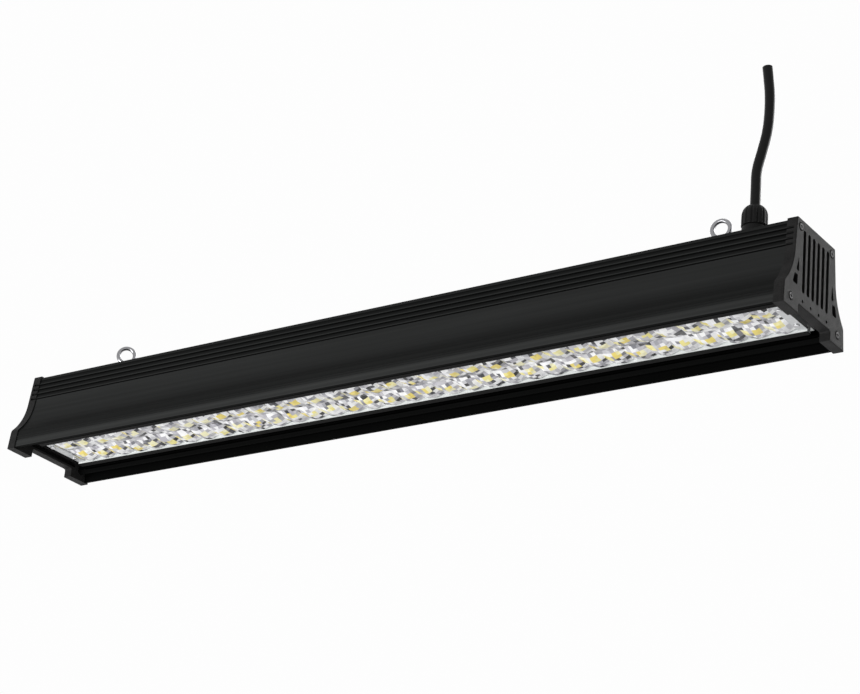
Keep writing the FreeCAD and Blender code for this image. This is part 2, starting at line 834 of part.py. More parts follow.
def small_pan_screw(x, y, seat):
    """Pan head screw driven upwards from the seat into the LED shelf."""
    head = cylinder(small_head_radius, small_head_height, V(x, y, seat - small_head_height))
    rim = [edge for edge in head.Edges if edge.BoundBox.ZMax < seat - small_head_height + 1e-4]
    head = head.makeFillet(small_head_height * head_round, rim)
    shank = cylinder(small_screw_radius, led_shelf_z + small_screw_reach - seat, V(x, y, seat))
    return head.fuse(shank).removeSplitter()


def rail_screws():
    seat = led_shelf_z - rail_flange_wall
    return Part.makeCompound([small_pan_screw(x, y, seat) for x, y in rail_screw_stations()])


def end_strip():
    """Strip that closes the +X end of the lens row."""
    start = end_strip_x() - end_strip_width / 2 + rail_gap
    end = end_strip_x() + end_strip_width / 2
    strip_bottom = lens_z - end_strip_drop
    strip = box(start, end, -rail_wall_inner + rail_gap, rail_wall_inner - rail_gap,
                strip_bottom, led_shelf_z)
    for x, y in end_strip_screw_stations():
        if x > 0:
            strip = strip.cut(cylinder(small_screw_radius + screw_hole_gap,
                                       led_shelf_z - strip_bottom + 2 * past,
                                       V(x, y, strip_bottom - past)))
    return strip


def end_strip_screws():
    seat = lens_z - end_strip_drop
    return Part.makeCompound([small_pan_screw(x, y, seat) for x, y in end_strip_screw_stations()])


# ================================================================ driver
def driver_screw_stations():
    x = driver_length / 2 + driver_end_wall + driver_tab_length / 2
    return [(driver_x + side * x, y) for side in (-1, 1) for y in spread(2, driver_screw_pitch)]


def driver_case():
    """Extruded driver case, ribbed along its top."""
    top = driver_floor_z + driver_height
    half = driver_width / 2
    section = section_box(-half, half, driver_floor_z, top, driver_round)
    for y in spread(driver_rib_count, driver_rib_pitch):
        section = section.cut(section_box(y - driver_rib_width / 2, y + driver_rib_width / 2,
                                          top - driver_rib_depth, top + past))
    return along_x(section.Faces[0], driver_x - driver_length / 2, driver_x + driver_length / 2)


def driver_end(side):
    """End plate of the driver with a fixing tab on the shelf."""
    inner = driver_x + side * driver_length / 2
    outer = inner + side * driver_end_wall
    half = driver_width / 2
    section = section_box(-half, half, driver_floor_z, driver_floor_z + driver_height, driver_round)
    plate = along_x(section, min(inner, outer), max(inner, outer))
    tab_end = outer + side * driver_tab_length
    tab = box(min(inner, tab_end), max(inner, tab_end), -driver_tab_width / 2, driver_tab_width / 2,
              driver_floor_z, driver_floor_z + driver_tab_wall)
    end = plate.fuse(tab)
    for x, y in driver_screw_stations():
        if (x - driver_x) * side > 0:
            end = end.cut(cylinder(tray_screw_radius + screw_hole_gap, driver_tab_wall + 2 * past,
                                   V(x, y, driver_floor_z - past)))
    return end.removeSplitter()


def tray_screw(x, y, seat):
    head = cylinder(tray_head_radius, tray_head_height, V(x, y, seat))
    rim = [edge for edge in head.Edges if edge.BoundBox.ZMin > seat + tray_head_height - 1e-4]
    head = head.makeFillet(tray_head_height * head_round, rim)
    shank = cylinder(tray_screw_radius, tray_screw_length, V(x, y, seat - tray_screw_length))
    return head.fuse(shank).removeSplitter()


def driver_screws():
    seat = driver_floor_z + driver_tab_wall
    return Part.makeCompound([tray_screw(x, y, seat) for x, y in driver_screw_stations()])


# ================================================================ terminal block
def terminal_screw_stations():
    reach = terminal_width / 2 + terminal_ear_reach
    return [(terminal_x, -reach), (terminal_x, reach)]


def terminal_block():
    """Three-pole block on a base with two fixing ears."""
    half_l, half_w = terminal_length / 2, terminal_width / 2
    top = driver_floor_z + terminal_height
    block = box(terminal_x - half_l, terminal_x + half_l, -half_w, half_w, driver_floor_z, top)
    ear = terminal_screw_stations()[1][1] + terminal_ear_end
    base = box(terminal_x - half_l / 2, terminal_x + half_l / 2, -ear, ear,
               driver_floor_z, driver_floor_z + driver_tab_wall)
    cuts = []
    for y in spread(terminal_poles, terminal_pitch):
        for x in (terminal_x - half_l / 2, terminal_x + half_l / 2):
            cuts.append(cylinder(terminal_well_radius, terminal_well_depth + past,
                                 V(x, y, top - terminal_well_depth)))
    for x, y in terminal_screw_stations():
        cuts.append(cylinder(tray_screw_radius + screw_hole_gap, driver_tab_wall + 2 * past,
                             V(x, y, driver_floor_z - past)))
    return block.fuse(base).cut(cuts).removeSplitter()


def terminal_screws():
    seat = driver_floor_z + driver_tab_wall
    return Part.makeCompound([tray_screw(x, y, seat) for x, y in terminal_screw_stations()])


# ================================================================ wiring
def mains_wires():
    """Single wires from the terminal block to the driver's +X end."""
    z = driver_floor_z + terminal_height / 2
    start = terminal_x - terminal_length / 2
    end = driver_x + driver_length / 2 + driver_end_wall
    return Part.makeCompound([cylinder(wire_diameter / 2, start - end, V(end, y, z), V(1, 0, 0))
                              for y in spread(terminal_poles, terminal_pitch)])


def output_lead():
    """Low-voltage lead from the driver's -X end down to the middle board."""
    start = V(driver_x - driver_length / 2 - driver_end_wall, 0, driver_floor_z + driver_height / 2)
    corner = V(lead_hole_x, 0, start.z)
    end = V(lead_hole_x, 0, led_shelf_z)
    return round_tube([start, corner, end], lead_diameter / 2, lead_bend)


def lead_grommets():
    """Rubber grommets that line the lead's holes through both shelves."""
    rings = []
    for x, y, z, wall in lead_holes():
        bore = lead_diameter / 2 + eye_fit_gap
        throat = grommet_radius - grommet_lip - eye_fit_gap
        rings.append(revolved([(bore, z), (throat, z), (throat, z + wall),
                               (grommet_radius, z + wall),
                               (grommet_radius, z + wall + grommet_lip_height),
                               (bore, z + wall + grommet_lip_height)], x, y))
    return Part.makeCompound(rings)


# ================================================================ cable gland
def gland_levels():
    washer = top_z + gland_washer_wall
    flange = washer + gland_flange_height
    nut = flange + gland_nut_gap
    return washer, flange, nut, nut + gland_nut_height


def cable_bore():
    return cable_diameter / 2 + gland_seal_gap


def gland_washer():
    bore, upper = gland_thread_radius + gland_seal_gap, top_z + gland_washer_wall
    return revolved([(bore, top_z), (gland_flats / 2, top_z), (gland_flats / 2, upper),
                     (bore, upper)], gland_x, gland_y)


def gland_body():
    """Flanged body: thread through the housing, hexagon, and neck inside the dome nut."""
    washer, flange, _, _ = gland_levels()
    body = hexagon(gland_flats, washer, gland_flange_height, gland_x, gland_y)
    corner = gland_flats / math.sqrt(3)
    body = body.common(revolved([(0, washer), (corner, washer), (corner, flange - gland_flange_chamfer),
                                 (gland_flats / 2, flange), (0, flange)], gland_x, gland_y))
    thread_end = top_z - gland_thread_length
    body = body.fuse([
        cylinder(gland_thread_radius, washer - thread_end, V(gland_x, gland_y, thread_end)),
        cylinder(gland_neck_radius, gland_neck_height, V(gland_x, gland_y, flange)),
    ])
    bore = cylinder(cable_bore(), flange + gland_neck_height - thread_end + 2 * past,
                    V(gland_x, gland_y, thread_end - past))
    return body.cut(bore).removeSplitter()


def seal_levels():
    """Top of the gland's neck, top of the seal, and radius of the dome nut's mouth."""
    _, flange, _, crown = gland_levels()
    return flange + gland_neck_height, crown - gland_nut_wall, cable_bore() + gland_mouth_gap


def gland_nut():
    """Domed hexagon nut, closing round the cable at the top."""
    _, _, nut, crown = gland_levels()
    reach = gland_nut_flats / math.sqrt(3) - gland_nut_chamfer
    dome = revolved([(0, nut), (reach, nut), (reach, crown), (0, crown)], gland_x, gland_y)
    top_edge = [edge for edge in dome.Edges if edge.BoundBox.ZMin > crown - 1e-4]
    dome = dome.makeFillet(gland_nut_round, top_edge)
    solid = hexagon(gland_nut_flats, nut, gland_nut_height, gland_x, gland_y).common(dome)
    inner = gland_neck_radius + gland_seal_gap
    neck_top, seal_top, mouth = seal_levels()
    hollow = revolved([(0, nut - past), (inner, nut - past), (inner, neck_top + 4 * gland_seal_gap),
                       (mouth + gland_seal_taper, seal_top), (mouth, seal_top),
                       (mouth, crown + past), (0, crown + past)], gland_x, gland_y)
    return solid.cut(hollow).removeSplitter()


def gland_seal():
    """Tapered rubber insert that the dome nut squeezes round the cable."""
    neck_top, seal_top, mouth = seal_levels()
    gap = gland_seal_gap
    return revolved([(cable_bore(), neck_top), (gland_neck_radius, neck_top),
                     (gland_neck_radius, neck_top + 3 * gap),
                     (mouth + gland_seal_taper - gap, seal_top - gap), (cable_bore(), seal_top - gap)],
                    gland_x, gland_y)


def gland_locknut():
    ring = hexagon(gland_locknut_flats, ceiling_z - gland_locknut_height, gland_locknut_height,
                   gland_x, gland_y)
    bore = cylinder(gland_thread_radius + gland_seal_gap, gland_locknut_height + 2 * past,
                    V(gland_x, gland_y, ceiling_z - gland_locknut_height - past))
    return ring.cut(bore)


def power_cable():
    """The free end of the supply cable, from the dome nut to its bare cut end."""
    crown = gland_levels()[3]
    # Points of the route, as steps from the middle of the dome nut's mouth.
    route = [(0.0, 0.0, 0.0), (0.0, 0.0, 18.0), (-0.5, 0.2, 36.0), (4.4, 0.6, 55.0),
             (8.8, 1.0, 74.0), (9.9, 1.2, 93.0), (9.7, 1.1, 111.0), (7.9, 0.9, 127.0),
             (6.2, 0.7, 140.5)]
    points = [V(gland_x + x, gland_y + y, crown + z) for x, y, z in route]
    return round_tube(points, cable_diameter / 2)


def cable_tail():
    """The same cable inside the lamp, from the dome nut's mouth to the terminal block."""
    start = V(gland_x, gland_y, gland_levels()[3])
    entry = V(terminal_x + terminal_length / 2, 0, driver_floor_z + terminal_height / 2)
    low = V(gland_x, gland_y, entry.z)
    ahead = entry + V(2.5 * cable_diameter, 0, 0)
    room = ceiling_z - gland_thread_length + top_wall - entry.z - cable_tail_gap
    return round_tube([start, low, ahead, entry], cable_diameter / 2, room)


# ================================================================ eye bolts
def eye_bolt(side, turn):
    """Steel eye on a threaded stem; the ring is turned about the stem."""
    x = side * eye_spacing / 2
    centre_z = top_z + eye_centre_height
    ring = Part.makeTorus(eye_ring_radius, eye_wire / 2, V(0, 0, 0), V(0, 1, 0))
    ring.rotate(V(0, 0, 0), V(0, 0, 1), turn)
    ring.translate(V(x, 0, centre_z))
    base = top_z - eye_stem_below
    ring_foot = centre_z - eye_ring_radius
    stem = cylinder(eye_stem_radius, ring_foot - base, V(x, 0, base))
    collar_top = ring_foot - eye_wire / 2 + eye_collar_lap
    collar = Part.makeCone(eye_collar_radius, eye_stem_radius * 0.9, eye_collar_height,
                           V(x, 0, collar_top - eye_collar_height))
    return ring.fuse([stem, collar]).removeSplitter()


def eye_nut(x, z):
    nut = hexagon(eye_nut_flats, z, eye_nut_height, x, 0)
    return nut.cut(cylinder(eye_stem_radius + eye_fit_gap, eye_nut_height + 2 * past,
                            V(x, 0, z - past)))


def eye_washer(x, z):
    ring = cylinder(eye_washer_radius, eye_washer_wall, V(x, 0, z))
    return ring.cut(cylinder(eye_stem_radius + eye_fit_gap, eye_washer_wall + 2 * past,
                             V(x, 0, z - past)))


def eye_hardware():
    """Outer and inner washers and nuts, as groups of like pieces."""
    stations = [-eye_spacing / 2, eye_spacing / 2]
    return {
        "eye_washers_outer": [eye_washer(x, top_z) for x in stations],
        "eye_nuts_outer": [eye_nut(x, top_z + eye_washer_wall) for x in stations],
        "eye_washers_inner": [eye_washer(x, ceiling_z - eye_washer_wall) for x in stations],
        "eye_nuts_inner": [eye_nut(x, ceiling_z - eye_washer_wall - eye_nut_height) for x in stations],
    }


# ================================================================ assembly
def build():
    nodes = {"housing": housing()}
    cap = end_cap()
    screws = cap_screws()
    nodes["end_cap_right"] = cap
    nodes["end_cap_left"] = mirrored_end(cap)
    nodes["cap_screws_right"] = screws
    nodes["cap_screws_left"] = mirrored_end(screws)
    for number, x in enumerate(spread(board_count, board_pitch), 1):
        nodes["led_board_%d" % number] = led_board(x)
        nodes["led_chips_%d" % number] = led_chips(x)
        nodes["lens_plate_%d" % number] = lens_plate(x)
        nodes["lens_seal_%d" % number] = lens_seal(x)
    nodes["board_screws"] = Part.makeCompound([board_screw(x, y) for x, y in board_screw_stations()])
    nodes["board_links"] = board_links()
    nodes["lens_rail_back"], nodes["lens_rail_front"] = both_sides(lens_rail())
    nodes["rail_screws"] = rail_screws()
    nodes["end_strip_right"] = end_strip()
    nodes["end_strip_left"] = mirrored_end(end_strip())
    nodes["end_strip_screws"] = end_strip_screws()
    nodes["driver_case"] = driver_case()
    nodes["driver_end_left"] = driver_end(-1)
    nodes["driver_end_right"] = driver_end(1)
    nodes["driver_screws"] = driver_screws()
    nodes["terminal_block"] = terminal_block()
    nodes["terminal_screws"] = terminal_screws()
    nodes["mains_wires"] = mains_wires()
    nodes["output_lead"] = output_lead()
    nodes["lead_grommets"] = lead_grommets()
    nodes["gland_washer"] = gland_washer()
    nodes["gland_body"] = gland_body()
    nodes["gland_seal"] = gland_seal()
    nodes["gland_nut"] = gland_nut()
    nodes["gland_locknut"] = gland_locknut()
    nodes["power_cable"] = power_cable()
    nodes["cable_tail"] = cable_tail()
    nodes["eye_bolt_left"] = eye_bolt(-1, eye_turn_left)
    nodes["eye_bolt_right"] = eye_bolt(1, eye_turn_right)
    for name, pieces in eye_hardware().items():
        nodes[name] = Part.makeCompound(pieces)
    return nodes


def main():
    os.makedirs("parts", exist_ok=True)
    for name, shape in build().items():
        solids = shape.Solids
        assert solids and shape.isValid(), name
        print("%-20s solids %2d  volume %10.1f" % (name, len(solids), shape.Volume))
        shape.exportStep("parts/%s.step" % name)


main()
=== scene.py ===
# %% [markdown]
# # A linear LED high bay light
# The lamp is one long black extrusion with a slotted cast cap on each end. It
# hangs from two eye bolts high in a hall and shines down through long plates of
# moulded lenses. Its rigid pieces come finished from the construction model, in
# metres and in place. This lesson gives them their surfaces, and it makes anew
# the few pieces whose look needs more than the construction holds: the supply
# cable, the lens plates, the gland's nut and collar, and the cable's cut end.

# %% Load the lamp
import math
import random

import bmesh
import bpy
from mathutils import Matrix, Vector


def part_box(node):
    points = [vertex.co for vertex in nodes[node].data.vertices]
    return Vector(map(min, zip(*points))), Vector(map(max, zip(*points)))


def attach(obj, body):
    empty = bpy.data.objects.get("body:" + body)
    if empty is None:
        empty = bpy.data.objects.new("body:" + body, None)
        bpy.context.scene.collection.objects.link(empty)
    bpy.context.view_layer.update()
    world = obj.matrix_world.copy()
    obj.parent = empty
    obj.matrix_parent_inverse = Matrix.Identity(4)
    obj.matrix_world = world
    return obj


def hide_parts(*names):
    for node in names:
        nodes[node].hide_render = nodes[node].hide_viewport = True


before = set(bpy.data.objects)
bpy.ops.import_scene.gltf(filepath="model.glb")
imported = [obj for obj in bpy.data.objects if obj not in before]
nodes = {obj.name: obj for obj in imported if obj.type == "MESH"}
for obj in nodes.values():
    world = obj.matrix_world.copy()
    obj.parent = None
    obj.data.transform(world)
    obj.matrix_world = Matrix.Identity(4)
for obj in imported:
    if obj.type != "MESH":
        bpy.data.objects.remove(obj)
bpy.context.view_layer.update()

# %% [markdown]
# ## The camera
# The lamp is seen from below and to the right, as from the floor of a hall, so
# the lenses, the front flank and the right end cap all show. A camera could be
# aimed by a Track To constraint, but that leaves no roll, so here it is turned
# three times: a heading round the vertical, a tilt up from the horizon and a
# small roll. A long lens keeps the far end from shrinking too much.

# %% Camera
camera_place = Vector((1.31283, -1.67254, -0.86642))
camera_heading = 37.19      # degrees, as are the next two
camera_tilt = 23.65
camera_roll = 5.77
camera_lens = 100.59
camera_sensor = 36.0


def add_object(name, data):
    """Puts a camera, lamp, curve or mesh into the scene at the origin."""
    thing = bpy.data.objects.new(name, data)
    bpy.context.scene.collection.objects.link(thing)
    return thing


def turn(degrees, axis):
    return Matrix.Rotation(math.radians(degrees), 4, axis)


def add_camera(name):
    data = bpy.data.cameras.new(name)
    data.lens, data.sensor_width = camera_lens, camera_sensor
    data.clip_start, data.clip_end = 0.05, 60.0
    camera = add_object(name, data)
    camera.matrix_world = (Matrix.Translation(camera_place) @ turn(camera_heading, "Z")
                           @ turn(90 + camera_tilt, "X") @ turn(camera_roll, "Z"))
    bpy.context.scene.camera = camera
    return camera


camera = add_camera("view_from_below")
print("camera at", tuple(round(c, 3) for c in camera.location))

# %% [markdown]
# ## The supply cable
# The rubber cable leaves the gland straight up and wanders a little. It is stiff enough to stand by
# itself over so short a length, and it ends in a square cut. A swept mesh would do, but a NURBS
# curve gives the easy bend of rubber: it is drawn towards a few listed points, and rounds every
# corner by itself. Its round bevel is the sheath.

# %% Cable route
mm = 0.001
cable_diameter = 9.5 * mm
nut_low, nut_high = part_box("gland_nut")
cable_exit = Vector(((nut_low.x + nut_high.x) / 2, (nut_low.y + nut_high.y) / 2, nut_high.z))
# Millimetres from the gland's mouth.
cable_steps = [(0.0, 0.0, 0.0), (0.0, 0.0, 18.0), (-0.5, 0.2, 36.0), (4.4, 0.6, 55.0),
               (8.8, 1.0, 74.0), (9.9, 1.2, 93.0), (9.7, 1.1, 111.0), (7.9, 0.9, 127.0),
               (6.2, 0.7, 140.5)]
cable_route = [cable_exit + Vector(step) * mm for step in cable_steps]
print("cable exit:", tuple(round(c, 4) for c in cable_exit), "points:", len(cable_route))

# %% [markdown]
# The bevel depth of 1 leaves the thickness to each point's own radius. The
# order is set once the points are there, because a spline without points keeps
# to straight runs.

# %% Cable curve
def add_cable(name):
    data = bpy.data.curves.new(name, "CURVE")
    data.dimensions = "3D"
    data.bevel_depth = 1.0
    data.bevel_resolution = 8
    data.resolution_u = 12
    data.use_fill_caps = True
    spline = data.splines.new("NURBS")
    spline.points.add(len(cable_route) - 1)
    for point, place in zip(spline.points, cable_route):
        point.co = (*place, 1.0)
        point.radius = cable_diameter / 2
    spline.order_u = 3
    spline.use_endpoint_u = True
    return add_object(name, data)


cable = add_cable("supply_cable")
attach(cable, "root")
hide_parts("power_cable")

# %% [markdown]
# ## Sums with sockets
# A finish is a small network of nodes, and much of it is plain arithmetic. It
# could be wired node by node, but that hides the sum. So one class wraps an
# output socket and turns each operator into a Math node. The reflected forms
# let a plain number stand first, as in 1 - mask.

# %% Socket arithmetic
class Sock:
    """One shader socket that takes part in sums."""

    def __init__(self, net, socket):
        self.net, self.socket = net, socket

    def _math(self, operation, other, swap=False):
        values = (other, self) if swap else (self, other)
        return self.net.add("ShaderNodeMath", {"operation": operation}, *values)

    def __add__(self, other):
        return self._math("ADD", other)

    def __radd__(self, other):
        return self._math("ADD", other)

    def __sub__(self, other):
        return self._math("SUBTRACT", other)

    def __rsub__(self, other):
        return self._math("SUBTRACT", other, swap=True)

    def __mul__(self, other):
        return self._math("MULTIPLY", other)

    def __rmul__(self, other):
        return self._math("MULTIPLY", other)

    def __truediv__(self, other):
        return self._math("DIVIDE", other)

    def __rtruediv__(self, other):
        return self._math("DIVIDE", other, swap=True)

    def __gt__(self, other):
        return self._math("GREATER_THAN", other)

    def __lt__(self, other):
        return self._math("LESS_THAN", other)


print("operators ready: + - * / > <")

# %% [markdown]
# ## Networks of nodes
# The second class holds one network, of a material or of the world. Its one
# method adds any node: the node's settings first, then the values or links of
# its inputs, by order or by name. What comes back is the output that is asked
# for, ready for the next sum.

# %% Node networks
class Net:
    """Node tree of one material or of the world."""

    def __init__(self, tree):
        self.tree = tree
        tree.nodes.clear()

    def add(self, kind, settings=None, *values, out=0, **named):
        """Adds one node: its settings first, then the values or links of its sockets."""
        node = self.tree.nodes.new(kind)
        for key, value in (settings or {}).items():
            if key == "stops":
                self._stops(node.color_ramp, value)
            else:
                setattr(node, key, value)
        for index, value in enumerate(values):
            self._feed(node.inputs[index], value)
        for name, value in named.items():
            self._feed(node.inputs[name.replace("_", " ")], value)
        return Sock(self, node.outputs[out]) if len(node.outputs) else node

    def _feed(self, socket, value):
        if isinstance(value, Sock):
            self.tree.links.new(value.socket, socket)
        else:
            socket.default_value = value

    @staticmethod
    def _stops(ramp, stops):
        while len(ramp.elements) < len(stops):
            ramp.elements.new(1.0)
        for element, (place, colour) in zip(ramp.elements, stops):
            element.position = place
            element.color = (*colour, 1.0)


def new_material(name):
    material = bpy.data.materials.new(name)
    material.use_nodes = True
    return material, Net(material.node_tree)


print("node networks ready")

# %% [markdown]
# ## The floor
# A pale floor lies just under the lamp's feet. From above it shows, with the
# lamp's shadow on it. From below it is clear, because the camera looks up
# through it: Backfacing tells the two sides apart. Only the camera sees the
# floor, so it throws no light of its own onto the lamp.

# %% Floor
floor_half = 12.0
floor_drop = 0.2 * mm
floor_white = 0.86


def floor_paint(name):
    material, net = new_material(name)
    pale = net.add("ShaderNodeBsdfDiffuse", None, (floor_white, floor_white, floor_white, 1.0))
    clear = net.add("ShaderNodeBsdfTransparent")
    below = net.add("ShaderNodeNewGeometry", None, out="Backfacing")
    shown = net.add("ShaderNodeMixShader", None, below, pale, clear)
    net.add("ShaderNodeOutputMaterial", None, shown)
    return material


def add_floor(name):
    shape = bmesh.new()
    bmesh.ops.create_grid(shape, x_segments=1, y_segments=1, size=floor_half)
    bmesh.ops.translate(shape, verts=shape.verts, vec=(0, 0, -floor_drop))
    mesh = bpy.data.meshes.new(name)
    shape.to_mesh(mesh)
    shape.free()
    mesh.materials.append(floor_paint(name))
    floor = add_object(name, mesh)
    floor.visible_diffuse = False
    floor.visible_glossy = False
    floor.visible_transmission = False
    floor.visible_shadow = False
    return floor


floor = add_floor("pale_floor")
print("floor at", round(floor.data.vertices[0].co.z, 5))

# %% [markdown]
# ## The white room
# The world is white for the camera and for what gloss mirrors and clear
# plastic lets through, and much dimmer as a light. One world shader could not
# do both, so Light Path picks between two. The room then looks white without
# washing out the black coat.

# %% World
room_white = 0.985
room_light = 0.16


def dress_world(name):
    world = bpy.data.worlds.new(name)
    world.use_nodes = True
    bpy.context.scene.world = world
    net = Net(world.node_tree)
    white = net.add("ShaderNodeBackground", None, (room_white, room_white, room_white, 1.0), 1.0)
    soft = net.add("ShaderNodeBackground", None, (1.0, 1.0, 1.0, 1.0), room_light)
    seen = net.add("ShaderNodeLightPath", None, out="Is Camera Ray")
    mirrored = net.add("ShaderNodeLightPath", None, out="Is Glossy Ray")
    through = net.add("ShaderNodeLightPath", None, out="Is Transmission Ray")
    lit = net.add("ShaderNodeMixShader", None, (seen + mirrored + through) > 0.5, soft, white)
    net.add("ShaderNodeOutputWorld", None, lit)


dress_world("white_studio")
bpy.context.scene.view_settings.view_transform = "Standard"
print("world:", bpy.context.scene.world.name)

# %% [markdown]
# ## The lamps
# Four wide area lamps stand round the light. A long low strip in front lights the flank from below;
# the dark of the ribs is painted shade in the extrusion's finish. One behind and above the right
# end rakes over the slotted cap. One under the lamp brings out the lenses, and one high at the back
# lights the flat top and the far side. Sun lamps would be simpler, but wide lamps keep every shadow
# soft.

# %% Lamps
# Name, place, point aimed at, width and height, all in metres, and watts.
lamp_table = [("front_lamp", (-0.9, -2.5, -0.95), (0, 0, 0.05), (3.2, 0.5), 72),
              ("end_lamp", (1.85, 1.85, 1.1), (0.45, 0, 0.05), (1.2, 1.2), 34),
              ("low_lamp", (0.2, -0.35, -2.2), (0, 0, 0), (2.4, 1.4), 27),
              ("back_lamp", (-0.4, 2.5, 1.7), (0, 0, 0.05), (3.0, 1.0), 45)]


def add_lamp(name, place, aim, size, watts):
    data = bpy.data.lights.new(name, "AREA")
    data.shape = "RECTANGLE"
    data.size, data.size_y = size
    data.energy = watts
    lamp = add_object(name, data)
    lamp.location = place
    lamp.rotation_euler = (Vector(aim) - Vector(place)).to_track_quat("-Z", "Y").to_euler()
    lamp.visible_camera = False
    return lamp


for row in lamp_table:
    lamp = add_lamp(*row)
    print(lamp.name, lamp.data.energy, "W")

# %% [markdown]
# ## Surfaces
# Every finish is a small recipe on object coordinates. These are metres in the
# lamp's own frame, so a noise of scale 1500 has grains of two thirds of a
# millimetre, and a noise that is squeezed across the lamp gives the long fine
# lines that a die leaves. The helpers below are shared by all the recipes.

# %% Surface helpers
def principled(net, normal, **sockets):
    shader = net.add("ShaderNodeBsdfPrincipled", None, Normal=normal, **sockets)
    net.add("ShaderNodeOutputMaterial", None, shader)


def lamp_coordinates(net):
    return net.add("ShaderNodeTexCoord", None, out="Object")


def stretched(net, scale):
    return net.add("ShaderNodeMapping", None, lamp_coordinates(net), Scale=scale)


def noise(net, vector, scale=1.0, detail=3.0):
    return net.add("ShaderNodeTexNoise", None, Vector=vector, Scale=scale, Detail=detail)


def ramp(net, factor, *stops):
    """Colour that runs through the stops (place, colour) as the factor rises."""
    return net.add("ShaderNodeValToRGB", {"stops": stops}, factor)


def grey(level):
    return level, level, level


def bump(net, relief, distance, strength=0.5):
    return net.add("ShaderNodeBump", None, Strength=strength, Distance=distance, Height=relief)


finishes = {}
print("surface helpers ready")

# %% [markdown]
# ## The black of the extrusion
# The long body is anodised black, with a satin sheen. Its colour also carries painted light and
# shade round the section: a painted highlight along the skirt's lip and on the lower edge of each
# rib, full tone on the flat of the flank, painted shade in the cove and in the grooves, and painted
# shade close to pure black inside the skirts. All of this follows the height on the section, so
# each rule below is a ramp on Z. A painted image would do it too, but a ramp is easy to change and
# has no seams.

# %% Painted light and shade round the section
groove_pitch = 5.5 * mm
groove_count = 4
first_groove = 9.2 * mm         # below the flat top
skirt_inside = 53.6 * mm        # from the lamp's middle plane
recess_roof = 19.0 * mm
top_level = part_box("housing")[1].z
brightest_painted_light = 2.5               # room at the top of the ramp
# Share of the flank's height, and the painted light there: above 1 it lightens the black, below 1
# it darkens it with painted shade.
painted_light_levels = [(0.0, 0.15), (0.017, 0.15), (0.026, 1.5), (0.04, 1.15), (0.08, 1.40),
               (0.115, 1.0), (0.135, 0.55), (0.21, 0.58), (0.27, 0.52), (0.36, 0.82),
               (0.46, 1.0), (0.72, 1.0), (1.0, 0.7)]
# Share of the way down a rib, and the strength of the painted highlight on its edge there.
lip_highlight_levels = [(0.0, 0.0), (0.16, 0.12), (0.62, 0.35), (0.80, 1.0), (0.86, 0.0)]


def height(net):
    return net.add("ShaderNodeSeparateXYZ", None, lamp_coordinates(net), out="Z")


def from_middle(net):
    across = net.add("ShaderNodeSeparateXYZ", None, lamp_coordinates(net), out="Y")
    return net.add("ShaderNodeMath", {"operation": "ABSOLUTE"}, across)


def inside_skirts(net):
    """1 on the inner faces of the skirts, 0 elsewhere."""
    return (from_middle(net) < skirt_inside) * (height(net) < recess_roof)


def painted_flank_light(net):
    """Painted light and shade on the black, by the height on the flank."""
    stops = [(share, grey(level / brightest_painted_light)) for share, level in painted_light_levels]
    return ramp(net, height(net) / top_level, *stops) * brightest_painted_light


def painted_rib_light(net):
    """The painted highlight on the lower edge of each rib, and 1 all over the ribs."""
    below = top_level - height(net) - (first_groove - groove_pitch)
    share = net.add("ShaderNodeMath", {"operation": "FRACT"}, below / groove_pitch)
    ribs = (below > 0.0) * (below < groove_count * groove_pitch)
    lip = ramp(net, share, *[(down, grey(level)) for down, level in lip_highlight_levels])
    return lip * ribs, ribs


print("tone levels:", len(painted_light_levels), "flat top at", round(top_level, 4))

# %% [markdown]
# The die that the aluminium is pressed through leaves faint lines along the
# lamp, so two noises are squeezed across it: fine lines and broader streaks. A
# third one is the fine grain of the metal. A low IOR keeps the black satin at a
# grazing angle, where a higher one would mirror the white room.

# %% Black extrusion
# The ribs lose most of their tone to painted shade, each rib's lower edge gets a painted highlight,
# and the insides of the skirts get painted shade.
groove_shade = 0.88             # share of the tone that the ribs lose
lip_highlight_strength = 1.25
recess_shade = 0.93


def black_extrusion(name):
    material, net = new_material(name)
    lines = noise(net, stretched(net, (1.2, 380.0, 380.0)), detail=4.0)
    streaks = noise(net, stretched(net, (5.0, 120.0, 120.0)), detail=2.0)
    grain = noise(net, lamp_coordinates(net), scale=2600.0, detail=2.0)
    colour = ramp(net, lines * 0.5 + streaks * 0.35 + grain * 0.15,
                  (0.0, (0.016, 0.0165, 0.0162)), (1.0, (0.046, 0.0475, 0.047)))
    lip, ribs = painted_rib_light(net)
    # Painted light and shade: the flank's ramp, painted shade over the ribs, a painted highlight on
    # each rib's lower edge, and painted shade inside the skirts.
    tone = painted_flank_light(net) * (1.0 - ribs * groove_shade) + lip * lip_highlight_strength
    tone = tone * (1.0 - inside_skirts(net) * recess_shade)
    colour = net.add("ShaderNodeVectorMath", {"operation": "SCALE"}, colour, Scale=tone)
    principled(net, bump(net, lines * 0.6 + grain * 0.4, 0.00006), Base_Color=colour,
               Roughness=0.36 + lines * 0.14, IOR=1.04)
    return material


finishes["black_extrusion"] = black_extrusion("black_extrusion")
print("nodes:", len(finishes["black_extrusion"].node_tree.nodes))

# %% [markdown]
# ## The black of the caps
# The end caps are die cast and powder coated, with a fine orange peel and an
# uneven tone. Two noises do it: a fine one for the peel, which also moves the
# gloss, and a broad one for the clouds. One noise of many octaves could do
# both, but then the peel couldn't be set by itself.

